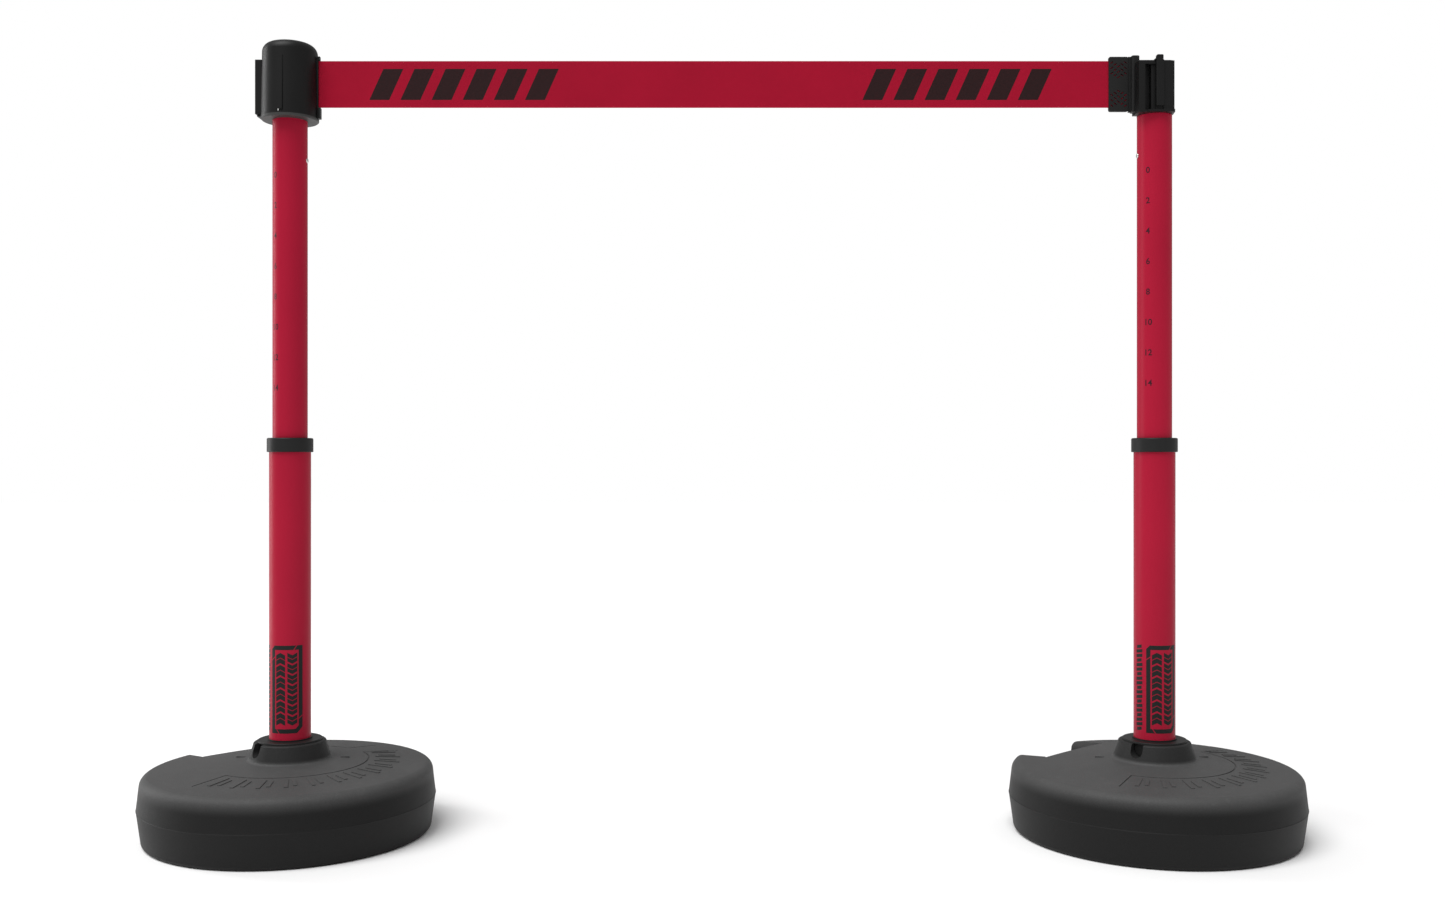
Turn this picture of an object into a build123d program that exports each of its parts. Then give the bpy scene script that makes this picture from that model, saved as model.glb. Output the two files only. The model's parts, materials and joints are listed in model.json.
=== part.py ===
"""Two-post retractable belt barrier: fillable bases, telescoping posts, a belt cassette and a receiver.

Millimetres, +Z up. The origin is on the floor midway between the posts, +X runs along the belt from
the cassette post (left) to the receiver post (right), and -Y is the front.
"""

from build123d import *

import os
from math import cos, radians, sin

# ---------------------------------------------------------------- driving dimensions
POST_SPACING = 1167.0
MAST_OFFSET = {"left": -6.5, "right": 0.0}  # the cassette mast is set a little lower on its scale

# base
RIM_R, FOOT_R, TOP_RIM_R = 192.6, 184.0, 177.0
PARTING_Z, RIM_TOP_Z = 46.5, 89.4
SEAM = 0.4  # the parting line stands out by this much
HUB_FOOT_R, HUB_FOOT_Z = 54.0, 100.0
HUB_TOP_R, HUB_TOP_Z = 47.0, 124.5
BASE_WALL = 4.0
SOCKET_R, SOCKET_FLOOR_Z = 27.55, 26.0
KEYWAY_AZIMUTH, KEYWAY_WIDTH, KEYWAY_Z = 225.0, 17.0, 107.0
GRIP_AZIMUTH, GRIP_CHORD, GRIP_WIDTH, GRIP_ROLL = 133.0, 126.0, 137.0, 8.0
FILL_Z, FILL_HOLE_R, FILL_CAP_R = 46.0, 15.0, 19.0
PANEL_AZIMUTH, PANEL_SPAN, PANEL_R_IN, PANEL_R_OUT = 237.0, 159.0, 103.0, 154.0
PANEL_DEPTH, PANEL_MARGIN, PANEL_GROUPS, PANEL_PAIRS = 1.1, 9.0, 2, 6
REAR_PANEL_AZIMUTH, REAR_PANEL_SPAN = 57.0, 38.0

# post
LOWER_R, LOWER_WALL = 27.2, 1.8
UPPER_R, UPPER_WALL = 22.85, 1.5
TUBE_FOOT_Z, LOWER_TOP_Z = 30.0, 528.5
FLANGE_R, FLANGE_T = 42.0, 2.5
COLLAR_R, COLLAR_Z, COLLAR_TOP_Z, COLLAR_BROW = 30.2, 513.0, 532.0, 2.0
UPPER_FOOT_Z, UPPER_TOP_Z = 457.0, 966.0
RIVET_Z, RIVET_AZIMUTH = 913.0, {"left": 0.0, "right": 180.0}
SPIGOT_LENGTH = 66.0

# belt
BELT_WIDTH, BELT_T, BELT_Z = 63.0, 0.8, 1009.4
ROLL_R = 28.5

# cassette, on the left post
CASSETTE_R, CASSETTE_TOP_R, CASSETTE_TOP_Z = 37.7, 36.2, 1064.1
CASSETTE_FLOOR_Z, CASSETTE_WALL, DOME_R = 959.5, 2.2, 13.0
EXIT_X = 38.8
RAIL_X = 43.9

# receiver, on the right post, measured from the post's axis
RECEIVER_FLAT, RECEIVER_FRONT, RECEIVER_TOP_Z = 21.0, 26.5, 1035.0
EAR_X, EAR_Y = -28.8, -9.5
CHANNEL_X, STEP_X, LATCH_X, LATCH_END_X, BEVEL_X = -20.2, -11.5, -6.2, 4.5, 12.4
BOLT_R, CAP_R = 3.0, 7.0
SLOT_MOUTH, SLOT_POCKET, SLOT_LIP, SLOT_DEPTH, SLOT_FLOOR_Z = 4.6, 13.2, 3.0, 6.4, 970.0

# belt clip, measured from the right post's axis
CLIP_X, CLIP_NECK_X, CLIP_PLATE_T = -62.2, -35.8, 2.0
CLIP_Z, CLIP_TOP_Z = 972.5, 1046.3
BEAD_X, BEAD_END_X, BEAD_Z, BEAD_TOP_Z = -32.3, -21.4, 971.5, 1047.2

UPPER_BORE = UPPER_R - UPPER_WALL
LOWER_BORE = LOWER_R - LOWER_WALL
LEFT_X, RIGHT_X = -POST_SPACING / 2, POST_SPACING / 2

os.makedirs("parts", exist_ok=True)


def save(piece, name):
    """Label a finished piece and write it."""
    piece.part.label = name
    export_step(piece.part, f"parts/{name}.step")


def top_z(radius):
    """Height of the base's shallow conical top at a radius."""
    slope = (HUB_FOOT_Z - RIM_TOP_Z) / (TOP_RIM_R - HUB_FOOT_R)
    return HUB_FOOT_Z - (radius - HUB_FOOT_R) * slope


def radial_plane(axis_x, azimuth):
    """Upright plane through a post's axis: local x runs outwards at the azimuth, local y runs up."""
    out = (cos(radians(azimuth)), sin(radians(azimuth)), 0)
    normal = (sin(radians(azimuth)), -cos(radians(azimuth)), 0)
    return Plane(origin=(axis_x, 0, 0), x_dir=out, z_dir=normal)


def outward_plane(axis_x, azimuth, distance, z):
    """Plane facing outwards at an azimuth, with local y up."""
    out = Vector(cos(radians(azimuth)), sin(radians(azimuth)), 0)
    side = (-out.Y, out.X, 0)
    origin = Vector(axis_x, 0, z) + out * distance
    return Plane(origin=origin, x_dir=side, z_dir=out)


def radial_band(r_in, r_out, below, above):
    """Face in a radial plane that follows the deck's slope between two radii."""
    with BuildLine() as outline:
        Polyline(
            (r_in, top_z(r_in) + above),
            (r_out, top_z(r_out) + above),
            (r_out, top_z(r_out) + below),
            (r_in, top_z(r_in) + below),
            close=True,
        )
    make_face(outline.edges())


def hook_slots(azimuths):
    """Plan of the tee slots round the receiver: a narrow mouth and a wide pocket at each azimuth."""
    for azimuth in azimuths:
        out = Vector(cos(radians(azimuth)), sin(radians(azimuth)), 0)
        mouth = out * (RECEIVER_FLAT - SLOT_LIP / 2 + 2)
        pocket = out * (RECEIVER_FLAT - SLOT_LIP - SLOT_DEPTH / 2)
        with Locations(Location((mouth.X, mouth.Y, 0), (0, 0, azimuth))):
            Rectangle(SLOT_LIP + 4.5, SLOT_MOUTH)
        with Locations(Location((pocket.X, pocket.Y, 0), (0, 0, azimuth))):
            Rectangle(SLOT_DEPTH, SLOT_POCKET)


# ================================================================ bases and posts, one pair of each
for side, axis_x in (("left", LEFT_X), ("right", RIGHT_X)):
    axis = Axis((axis_x, 0, 0), (0, 0, 1))
    section = radial_plane(axis_x, 0)
    lift = MAST_OFFSET[side]
    grip_wall = outward_plane(axis_x, GRIP_AZIMUTH, GRIP_CHORD, 0)

    # the water space: the outer form drawn in by the wall, without the socket well and the grip
    with BuildPart() as hollow:
        with BuildSketch(section):
            with BuildLine():
                Polyline(
                    (SOCKET_R + BASE_WALL, BASE_WALL),
                    (FOOT_R - BASE_WALL, BASE_WALL),
                    (RIM_R - BASE_WALL, PARTING_Z),
                    (RIM_R - BASE_WALL - 3, RIM_TOP_Z - 14),
                    (TOP_RIM_R - 8, RIM_TOP_Z - BASE_WALL),
                    (HUB_FOOT_R - BASE_WALL, HUB_FOOT_Z - BASE_WALL),
                    (HUB_TOP_R - BASE_WALL, KEYWAY_Z - BASE_WALL - 8),
                    (SOCKET_R + BASE_WALL, KEYWAY_Z - BASE_WALL - 8),
                    close=True,
                )
            make_face()
        revolve(axis=axis)
        with BuildSketch(Plane(grip_wall.location).offset(-BASE_WALL)):
            with Locations((0, RIM_TOP_Z / 2)):
                Rectangle(GRIP_WIDTH + 2 * BASE_WALL, 2 * RIM_TOP_Z)
        extrude(amount=RIM_R, mode=Mode.SUBTRACT)

    with BuildPart() as base_shell:
        with BuildSketch(section):
            with BuildLine():
                foot = Line((0, 0), (FOOT_R - 4, 0))
                toe = RadiusArc(foot @ 1, (FOOT_R + 3.2, 7), -7)
                lower = Line(toe @ 1, (RIM_R, PARTING_Z - 0.8))
                seam = Polyline(lower @ 1, (RIM_R + SEAM, PARTING_Z), (RIM_R, PARTING_Z + 0.8))
                upper = Line(seam @ 1, (RIM_R - 3.5, RIM_TOP_Z - 11))
                shoulder = RadiusArc(upper @ 1, (TOP_RIM_R, RIM_TOP_Z), -12.5)
                deck = Line(shoulder @ 1, (HUB_FOOT_R + 3.5, top_z(HUB_FOOT_R + 3.5)))
                root = RadiusArc(deck @ 1, (HUB_FOOT_R - 0.9, HUB_FOOT_Z + 3.5), 4.5)
                hub = Line(root @ 1, (HUB_TOP_R + 0.6, HUB_TOP_Z - 3))
                brow = RadiusArc(hub @ 1, (HUB_TOP_R - 2.5, HUB_TOP_Z), -3.2)
                Polyline(brow @ 1, (0, HUB_TOP_Z), (0, 0))
            make_face()
        revolve(axis=axis)
        # hand grip through the rim
        with BuildSketch(grip_wall) as grip:
            with Locations((0, RIM_TOP_Z / 2)):
                Rectangle(GRIP_WIDTH, 2 * RIM_TOP_Z)
        extrude(amount=RIM_R, taper=-2, mode=Mode.SUBTRACT)
        # rolled edge between the deck and the grip's back wall
        roll_x = GRIP_CHORD - GRIP_ROLL
        roll_z = top_z(roll_x) + 0.1
        with BuildSketch(radial_plane(axis_x, GRIP_AZIMUTH)):
            with BuildLine():
                roll = RadiusArc((roll_x, roll_z), (GRIP_CHORD + 0.4, roll_z - GRIP_ROLL), GRIP_ROLL + 0.2)
                Polyline(roll @ 1, (GRIP_CHORD + 0.4, RIM_TOP_Z + 20), (roll_x, RIM_TOP_Z + 20), roll @ 0)
            make_face()
        extrude(amount=GRIP_WIDTH / 2 + 3, both=True, mode=Mode.SUBTRACT)
        add(hollow.part, mode=Mode.SUBTRACT)
        # blind socket for the post, and the keyway in the hub
        with BuildSketch(Plane(origin=(axis_x, 0, SOCKET_FLOOR_Z))):
            Circle(SOCKET_R)
        extrude(amount=HUB_TOP_Z, mode=Mode.SUBTRACT)
        with BuildSketch(outward_plane(axis_x, KEYWAY_AZIMUTH, SOCKET_R - 4, KEYWAY_Z)):
            with Locations((0, KEYWAY_WIDTH / 2)):
                Circle(KEYWAY_WIDTH / 2)
            with Locations((0, KEYWAY_WIDTH)):
                Rectangle(KEYWAY_WIDTH, KEYWAY_WIDTH)
        extrude(amount=HUB_FOOT_R, mode=Mode.SUBTRACT)
        # filling hole through the grip's back wall
        with BuildSketch(outward_plane(axis_x, GRIP_AZIMUTH, GRIP_CHORD - 2 * BASE_WALL, FILL_Z)):
            Circle(FILL_HOLE_R)
        extrude(amount=3 * BASE_WALL, mode=Mode.SUBTRACT)
        # sunk borders of the two panels: an inner arc, with a radial line at each end that shows
        for start, span in ((PANEL_AZIMUTH, PANEL_SPAN), (REAR_PANEL_AZIMUTH, REAR_PANEL_SPAN)):
            with BuildSketch(radial_plane(axis_x, start)):
                with Locations((PANEL_R_IN, top_z(PANEL_R_IN))):
                    Rectangle(2.0, 2 * PANEL_DEPTH)
            revolve(axis=axis, revolution_arc=span, mode=Mode.SUBTRACT)
        for azimuth in (PANEL_AZIMUTH, PANEL_AZIMUTH + PANEL_SPAN, REAR_PANEL_AZIMUTH):
            with BuildSketch(radial_plane(axis_x, azimuth)):
                radial_band(PANEL_R_IN, PANEL_R_OUT, -PANEL_DEPTH, 2.0)
            extrude(amount=1.0, both=True, mode=Mode.SUBTRACT)
        # raised bars inside the front panel: two groups of a long bar beside a short one
        group_span = PANEL_SPAN / PANEL_GROUPS
        pair_pitch = (group_span - 12.0) / (PANEL_PAIRS - 1)
        for group in range(PANEL_GROUPS):
            for pair in range(PANEL_PAIRS):
                azimuth = PANEL_AZIMUTH + group * group_span + 7.5 + pair * pair_pitch
                for turn, shorter in ((0.0, 0.0), (4.6, 5.5)):
                    with BuildSketch(radial_plane(axis_x, azimuth + turn)):
                        reach_in = PANEL_R_IN + PANEL_MARGIN + shorter
                        reach_out = PANEL_R_OUT - PANEL_MARGIN - shorter
                        radial_band(reach_in, reach_out, -1.0, 0.9)
                    extrude(amount=2.3, both=True)
        # short radial ribs either side of the hub
        for azimuth in (10, 170):
            with BuildSketch(radial_plane(axis_x, azimuth)):
                with Locations((72, top_z(72))):
                    Rectangle(12, 2.4)
            extrude(amount=1.2, both=True)
    save(base_shell, f"{side}_base_shell")

    # quarter-turn filling cap with a grip bar
    with BuildPart() as fill_cap:
        with BuildSketch(outward_plane(axis_x, GRIP_AZIMUTH, GRIP_CHORD + 1.5, FILL_Z)):
            Circle(FILL_CAP_R)
        extrude(amount=4.5)
        chamfer(fill_cap.faces().sort_by(Axis((0, 0, 0), grip_wall.z_dir))[-1].edges(), 1.2)
        with BuildSketch(outward_plane(axis_x, GRIP_AZIMUTH, GRIP_CHORD + 6.0, FILL_Z)):
            SlotOverall(30, 6)
        extrude(amount=4)
        with BuildSketch(outward_plane(axis_x, GRIP_AZIMUTH, GRIP_CHORD + 1.5, FILL_Z)):
            Circle(FILL_HOLE_R - 0.4)
            Circle(FILL_HOLE_R - 3.4, mode=Mode.SUBTRACT)
        extrude(amount=-9)
    save(fill_cap, f"{side}_fill_cap")

    with BuildPart() as gasket:
        with BuildSketch(outward_plane(axis_x, GRIP_AZIMUTH, GRIP_CHORD, FILL_Z)):
            Circle(FILL_CAP_R - 1.0)
            Circle(FILL_HOLE_R + 0.3, mode=Mode.SUBTRACT)
        extrude(amount=1.4)
    save(gasket, f"{side}_fill_gasket")

    # the disc that stops the post on the hub
    with BuildPart() as stop_flange:
        with BuildSketch(Plane(origin=(axis_x, 0, HUB_TOP_Z))):
            Circle(FLANGE_R)
            Circle(LOWER_R, mode=Mode.SUBTRACT)
        extrude(amount=FLANGE_T)
        fillet(stop_flange.edges().group_by(Axis.Z)[-1].sort_by(SortBy.RADIUS)[-1], 1.0)
        with BuildSketch(Plane(origin=(axis_x, 0, HUB_TOP_Z + FLANGE_T))):
            Circle(LOWER_R + 1.8)
            Circle(LOWER_R, mode=Mode.SUBTRACT)
        extrude(amount=1.6)
    save(stop_flange, f"{side}_stop_flange")

    with BuildPart() as lower_tube:
        with BuildSketch(Plane(origin=(axis_x, 0, TUBE_FOOT_Z))):
            Circle(LOWER_R)
            Circle(LOWER_BORE, mode=Mode.SUBTRACT)
        extrude(amount=LOWER_TOP_Z - TUBE_FOOT_Z)
    save(lower_tube, f"{side}_lower_tube")

    # lug on the tube that sits in the hub's keyway and keeps the post from turning
    with BuildPart() as key_lug:
        with BuildSketch(outward_plane(axis_x, KEYWAY_AZIMUTH, 0, KEYWAY_Z + 0.4)):
            with Locations((0, KEYWAY_WIDTH / 2)):
                Circle(KEYWAY_WIDTH / 2 - 0.5)
            with Locations((0, KEYWAY_WIDTH * 0.7)):
                Rectangle(KEYWAY_WIDTH - 1, KEYWAY_WIDTH * 0.6)
        extrude(amount=38.0)
        with BuildSketch(Plane(origin=(axis_x, 0, 0))):
            Circle(LOWER_R)
        extrude(amount=HUB_TOP_Z + 10, mode=Mode.SUBTRACT)
        with BuildSketch(Plane(origin=(axis_x, 0, HUB_TOP_Z))):
            Circle(2 * FLANGE_R)
        extrude(amount=20, mode=Mode.SUBTRACT)
    save(key_lug, f"{side}_key_lug")

    with BuildPart() as end_plug:
        with BuildSketch(Plane(origin=(axis_x, 0, TUBE_FOOT_Z - 3))):
            Circle(LOWER_R)
        extrude(amount=3)
        with BuildSketch(Plane(origin=(axis_x, 0, TUBE_FOOT_Z))):
            Circle(LOWER_BORE)
            Circle(LOWER_BORE - 3, mode=Mode.SUBTRACT)
        extrude(amount=14)
        chamfer(end_plug.edges().group_by(Axis.Z)[0], 1.0)
    save(end_plug, f"{side}_tube_end_plug")

    # twist collar: a ring over the lower tube with a lip round the upper one
    with BuildPart() as collar:
        with BuildSketch(section):
            with BuildLine():
                inside = Polyline(
                    (UPPER_R + 0.5, COLLAR_TOP_Z),
                    (UPPER_R + 0.5, LOWER_TOP_Z + 1.4),
                    (LOWER_R + 0.3, LOWER_TOP_Z + 1.4),
                    (LOWER_R + 0.3, COLLAR_Z),
                    (COLLAR_R - 0.6, COLLAR_Z),
                    (COLLAR_R, COLLAR_Z + 0.6),
                    (COLLAR_R, COLLAR_TOP_Z - COLLAR_BROW),
                )
                crown = RadiusArc(inside @ 1, (COLLAR_R - COLLAR_BROW, COLLAR_TOP_Z), -COLLAR_BROW)
                Line(crown @ 1, inside @ 0)
            make_face()
        revolve(axis=axis)
    save(collar, f"{side}_lock_collar")

    # split collet between the two tubes
    with BuildPart() as collet:
        with BuildSketch(Plane(origin=(axis_x, 0, LOWER_TOP_Z - 34))):
            Circle(LOWER_BORE)
            Circle(UPPER_R + 0.06, mode=Mode.SUBTRACT)
        extrude(amount=34)
        with BuildSketch(Plane(origin=(axis_x, 0, LOWER_TOP_Z))):
            Circle(LOWER_R)
            Circle(UPPER_R + 0.06, mode=Mode.SUBTRACT)
        extrude(amount=1.2)
        with BuildSketch(radial_plane(axis_x, 90)):
            with Locations((LOWER_R, LOWER_TOP_Z - 12)):
                Rectangle(LOWER_R, 60)
        extrude(amount=1.2, both=True, mode=Mode.SUBTRACT)
    save(collet, f"{side}_clamp_collet")

    # flanged bush on the foot of the upper tube
    foot_z = UPPER_FOOT_Z + lift
    with BuildPart() as bush:
        with BuildSketch(Plane(origin=(axis_x, 0, foot_z - 10))):
            Circle(LOWER_BORE - 0.06)
            Circle(UPPER_BORE - 3, mode=Mode.SUBTRACT)
        extrude(amount=10)
        with BuildSketch(Plane(origin=(axis_x, 0, foot_z))):
            Circle(UPPER_BORE)
            Circle(UPPER_BORE - 3, mode=Mode.SUBTRACT)
        extrude(amount=16)
    save(bush, f"{side}_guide_bush")

    rivet = outward_plane(axis_x, RIVET_AZIMUTH[side], 0, RIVET_Z + lift)
    with BuildPart() as upper_tube:
        with BuildSketch(Plane(origin=(axis_x, 0, foot_z))):
            Circle(UPPER_R)
            Circle(UPPER_BORE, mode=Mode.SUBTRACT)
        extrude(amount=UPPER_TOP_Z - UPPER_FOOT_Z)
        with BuildSketch(rivet):
            Circle(2.0)
        extrude(amount=UPPER_R + 5, mode=Mode.SUBTRACT)
    save(upper_tube, f"{side}_upper_tube")

    # domed rivet through the tube and the head's spigot
    with BuildPart() as stop_rivet:
        with BuildSketch(rivet.offset(UPPER_BORE - 5)):
            Circle(2.0)
        extrude(amount=UPPER_WALL + 5)
        with BuildSketch(rivet.offset(UPPER_R - 0.4)):
            Circle(3.35)
        extrude(amount=1.7)
        fillet(stop_rivet.faces().sort_by(Axis((0, 0, 0), rivet.z_dir))[-1].edges(), 1.1)
        with BuildSketch(Plane(origin=(axis_x, 0, RIVET_Z + lift - 10))):
            Circle(UPPER_R)
            Circle(UPPER_BORE + 0.3, mode=Mode.SUBTRACT)
        extrude(amount=20, mode=Mode.SUBTRACT)
        with BuildSketch(rivet.offset(UPPER_BORE - 5)):
            Circle(2.0)
        extrude(amount=UPPER_WALL + 5.5)
    save(stop_rivet, f"{side}_stop_rivet")

# ================================================================ cassette
FLOOR_Z = CASSETTE_FLOOR_Z
SPOOL_Z, SPOOL_TOP_Z = 974.0, 1046.0
SPINDLE_R = 3.0
left_section = radial_plane(LEFT_X, 0)
left_axis = Axis((LEFT_X, 0, 0), (0, 0, 1))
left_rivet = outward_plane(LEFT_X, RIVET_AZIMUTH["left"], 0, RIVET_Z + MAST_OFFSET["left"])

# floor of the cassette with the spigot that fits in the upper tube
with BuildPart() as cassette_floor:
    with BuildSketch(Plane(origin=(LEFT_X, 0, FLOOR_Z))):
        Circle(CASSETTE_R)
    extrude(amount=3.5)
    chamfer(cassette_floor.edges().group_by(Axis.Z)[0], 1.2)
    with BuildSketch(Plane(origin=(LEFT_X, 0, FLOOR_Z - SPIGOT_LENGTH))):
        Circle(UPPER_BORE)
        Circle(UPPER_BORE - 3.5, mode=Mode.SUBTRACT)
    extrude(amount=SPIGOT_LENGTH)
    with BuildSketch(left_rivet):
        Circle(2.0)
    extrude(amount=UPPER_R + 5, mode=Mode.SUBTRACT)
    with BuildSketch(Plane(origin=(LEFT_X, 0, FLOOR_Z))):
        Circle(SPINDLE_R)
    extrude(amount=3.5, mode=Mode.SUBTRACT)
save(cassette_floor, "cassette_floor")

# one-piece housing: tapered wall, rounded dome, belt exit, front parting slot
with BuildPart() as cassette_body:
    with BuildSketch(left_section):
        with BuildLine():
            wall = Line((CASSETTE_R, FLOOR_Z + 3.5), (CASSETTE_TOP_R, CASSETTE_TOP_Z - DOME_R))
            crown = RadiusArc(wall @ 1, (CASSETTE_TOP_R - DOME_R, CASSETTE_TOP_Z - 1.2), -DOME_R)
            roof = Line(crown @ 1, (0, CASSETTE_TOP_Z))
            drop = Line(roof @ 1, (0, CASSETTE_TOP_Z - CASSETTE_WALL))
            ceiling = Line(drop @ 1, (CASSETTE_TOP_R - DOME_R, CASSETTE_TOP_Z - CASSETTE_WALL - 1.2))
            hollow_crown = RadiusArc(
                ceiling @ 1,
                (CASSETTE_TOP_R - CASSETTE_WALL, CASSETTE_TOP_Z - DOME_R),
                DOME_R - CASSETTE_WALL + 1,
            )
            Polyline(hollow_crown @ 1, (CASSETTE_R - CASSETTE_WALL, FLOOR_Z + 3.5), wall @ 0)
        make_face()
    revolve(axis=left_axis)
    # boss that takes the spindle's head
    with BuildSketch(Plane(origin=(LEFT_X, 0, CASSETTE_TOP_Z - 9))):
        Circle(7)
    extrude(amount=7.4)
    with BuildSketch(Plane(origin=(LEFT_X, 0, CASSETTE_TOP_Z - 10))):
        Circle(SPINDLE_R)
    extrude(amount=6, mode=Mode.SUBTRACT)
    # belt exit at +X
    with BuildSketch(outward_plane(LEFT_X, 0, 20, BELT_Z)):
        Rectangle(7.2, BELT_WIDTH + 5)
    extrude(amount=30, mode=Mode.SUBTRACT)
    # parting slot at the front with its foot notch
    with BuildSketch(outward_plane(LEFT_X, 272, CASSETTE_R - 1.9, 0)):
        with Locations((0, 1002)):
            Rectangle(1.5, 74)
        with Locations((-3.6, 966.4)):
            Rectangle(8.7, 2.8)
    extrude(amount=10, mode=Mode.SUBTRACT)
    # seat of the rear rail
    with BuildSketch(outward_plane(LEFT_X, 180, 35.2, 1002)):
        Rectangle(22, 76)
    extrude(amount=10, mode=Mode.SUBTRACT)
save(cassette_body, "cassette_body")

# small bright screw in the notch at the foot of the slot
with BuildPart() as foot_screw:
    with BuildSketch(outward_plane(LEFT_X, 272, CASSETTE_R - 1.9, 966.4)):
        with Locations((-5.8, 0)):
            Circle(1.2)
    extrude(amount=1.3)
    fillet(foot_screw.faces().sort_by(Axis.Y)[0].edges(), 0.4)
save(foot_screw, "cassette_foot_screw")

# channel at the back that takes another belt's clip
with BuildPart() as rear_rail:
    with BuildSketch(Plane(origin=(LEFT_X, 0, 967))):
        with Locations((-(RAIL_X + 35.2) / 2, 0)):
            Rectangle(RAIL_X - 35.2, 21.6)
    extrude(amount=73)
    with BuildSketch(Plane(origin=(LEFT_X, 0, 964))):
        with Locations((-(RAIL_X + 36.2) / 2 + 1.0, 0)):
            Rectangle(RAIL_X - 36.2 - 2, 17)
    extrude(amount=3)
    with BuildSketch(Plane(origin=(LEFT_X, 0, 970))):
        with Locations((-RAIL_X + 1, 0)):
            Rectangle(8, SLOT_MOUTH)
        with Locations((-(RAIL_X - 1.6) + 2.5, 0)):
            Rectangle(5.0, SLOT_POCKET)
    extrude(amount=80, mode=Mode.SUBTRACT)
    fillet(rear_rail.edges().filter_by(Axis.Z).sort_by(Axis.X)[0:2], 0.5)
save(rear_rail, "cassette_rear_rail")

# frame round the belt exit, with a bead at its head and a block at its foot
with BuildPart() as exit_frame:
    with BuildSketch(outward_plane(LEFT_X, 0, 33.2, BELT_Z)):
        Rectangle(6.9, BELT_WIDTH + 4.4)
        Rectangle(2.6, BELT_WIDTH + 1.6, mode=Mode.SUBTRACT)
    extrude(amount=EXIT_X - 33.2)
    fillet(exit_frame.faces().sort_by(Axis.X)[-1].outer_wire().edges().filter_by(Axis.Z), 1.2)
    with BuildSketch(outward_plane(LEFT_X, 0, 37.2, BELT_Z + BELT_WIDTH / 2 + 3.0)):
        RectangleRounded(6.4, 5.8, 1.6)
    extrude(amount=3.2)
    with BuildSketch(outward_plane(LEFT_X, 0, 38.0, BELT_Z - BELT_WIDTH / 2 - 7.8)):
        RectangleRounded(9.0, 15.0, 1.2)
    extrude(amount=3.3)
save(exit_frame, "belt_exit_frame")

with BuildPart() as spindle:
    with BuildSketch(Plane(origin=(LEFT_X, 0, FLOOR_Z))):
        Circle(SPINDLE_R)
    extrude(amount=CASSETTE_TOP_Z - 5 - FLOOR_Z)
save(spindle, "reel_spindle")

# spool: two flanges, a drum and bearing hubs on the spindle
with BuildPart() as spool:
    with BuildSketch(left_section):
        with BuildLine():
            Polyline(
                (SPINDLE_R + 0.06, SPOOL_Z),
                (32, SPOOL_Z),
                (32, SPOOL_Z + 1.6),
                (17, SPOOL_Z + 1.6),
                (17, SPOOL_TOP_Z - 1.6),
                (32, SPOOL_TOP_Z - 1.6),
                (32, SPOOL_TOP_Z),
                (SPINDLE_R + 0.06, SPOOL_TOP_Z),
                (SPINDLE_R + 0.06, SPOOL_TOP_Z - 24),
                (15.5, SPOOL_TOP_Z - 24),
                (15.5, SPOOL_Z + 2.4),
                (SPINDLE_R + 0.06, SPOOL_Z + 2.4),
                close=True,
            )
        make_face()
    revolve(axis=left_axis)
save(spool, "belt_spool")

# flat spiral return spring: half-turns whose radius grows by half the pitch
SPRING_TURNS, SPRING_T, SPRING_PITCH, SPRING_R = 8, 0.5, 1.2, 4.4
with BuildPart() as spring:
    with BuildSketch(Plane(origin=(LEFT_X, 0, SPOOL_Z + 5))):
        with BuildLine():
            x, sign = SPRING_R, 1
            outer_turn, inner_turn = [], []
            for half in range(2 * SPRING_TURNS):
                reach = SPRING_R + (half + 1) * SPRING_PITCH / 2
                far = -sign * reach
                middle, radius = (sign * x + far) / 2, (x + reach) / 2
                outer_turn.append(((sign * (x + SPRING_T), 0), (middle, sign * (radius + SPRING_T))))
                inner_turn.append(((sign * x, 0), (middle, sign * radius)))
                x, sign = reach, -sign
            end_in, end_out = (sign * x, 0), (sign * (x + SPRING_T), 0)
            starts = [p for p, _ in outer_turn] + [end_out]
            for (p, m), q in zip(outer_turn, starts[1:]):
                ThreePointArc(p, m, q)
            starts = [p for p, _ in inner_turn] + [end_in]
            for (p, m), q in zip(inner_turn, starts[1:]):
                ThreePointArc(p, m, q)
            Line(inner_turn[0][0], outer_turn[0][0])
            Line(end_in, end_out)
        make_face()
    extrude(amount=34)
save(spring, "return_spring")

with BuildPart() as spring_key:
    with BuildSketch(Plane(origin=(LEFT_X, 0, SPOOL_Z + 4))):
        Circle(SPRING_R - 0.1)
        Circle(SPINDLE_R, mode=Mode.SUBTRACT)
    extrude(amount=36)
save(spring_key, "spring_arbor")

with BuildPart() as belt_roll:
    with BuildSketch(Plane(origin=(LEFT_X, 0, BELT_Z - BELT_WIDTH / 2))):
        Circle(ROLL_R)
        Circle(17, mode=Mode.SUBTRACT)
    extrude(amount=BELT_WIDTH)
save(belt_roll, "belt_roll")

# ================================================================ belt and its clip
with BuildPart() as belt_web:
    with BuildSketch(Plane(origin=(0, 0, BELT_Z - BELT_WIDTH / 2))):
        with Locations(((LEFT_X + 34.6 + RIGHT_X + CLIP_NECK_X - 1) / 2, 0)):
            Rectangle(RIGHT_X + CLIP_NECK_X - 1 - LEFT_X - 34.6, BELT_T)
    extrude(amount=BELT_WIDTH)
save(belt_web, "belt_web")

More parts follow.
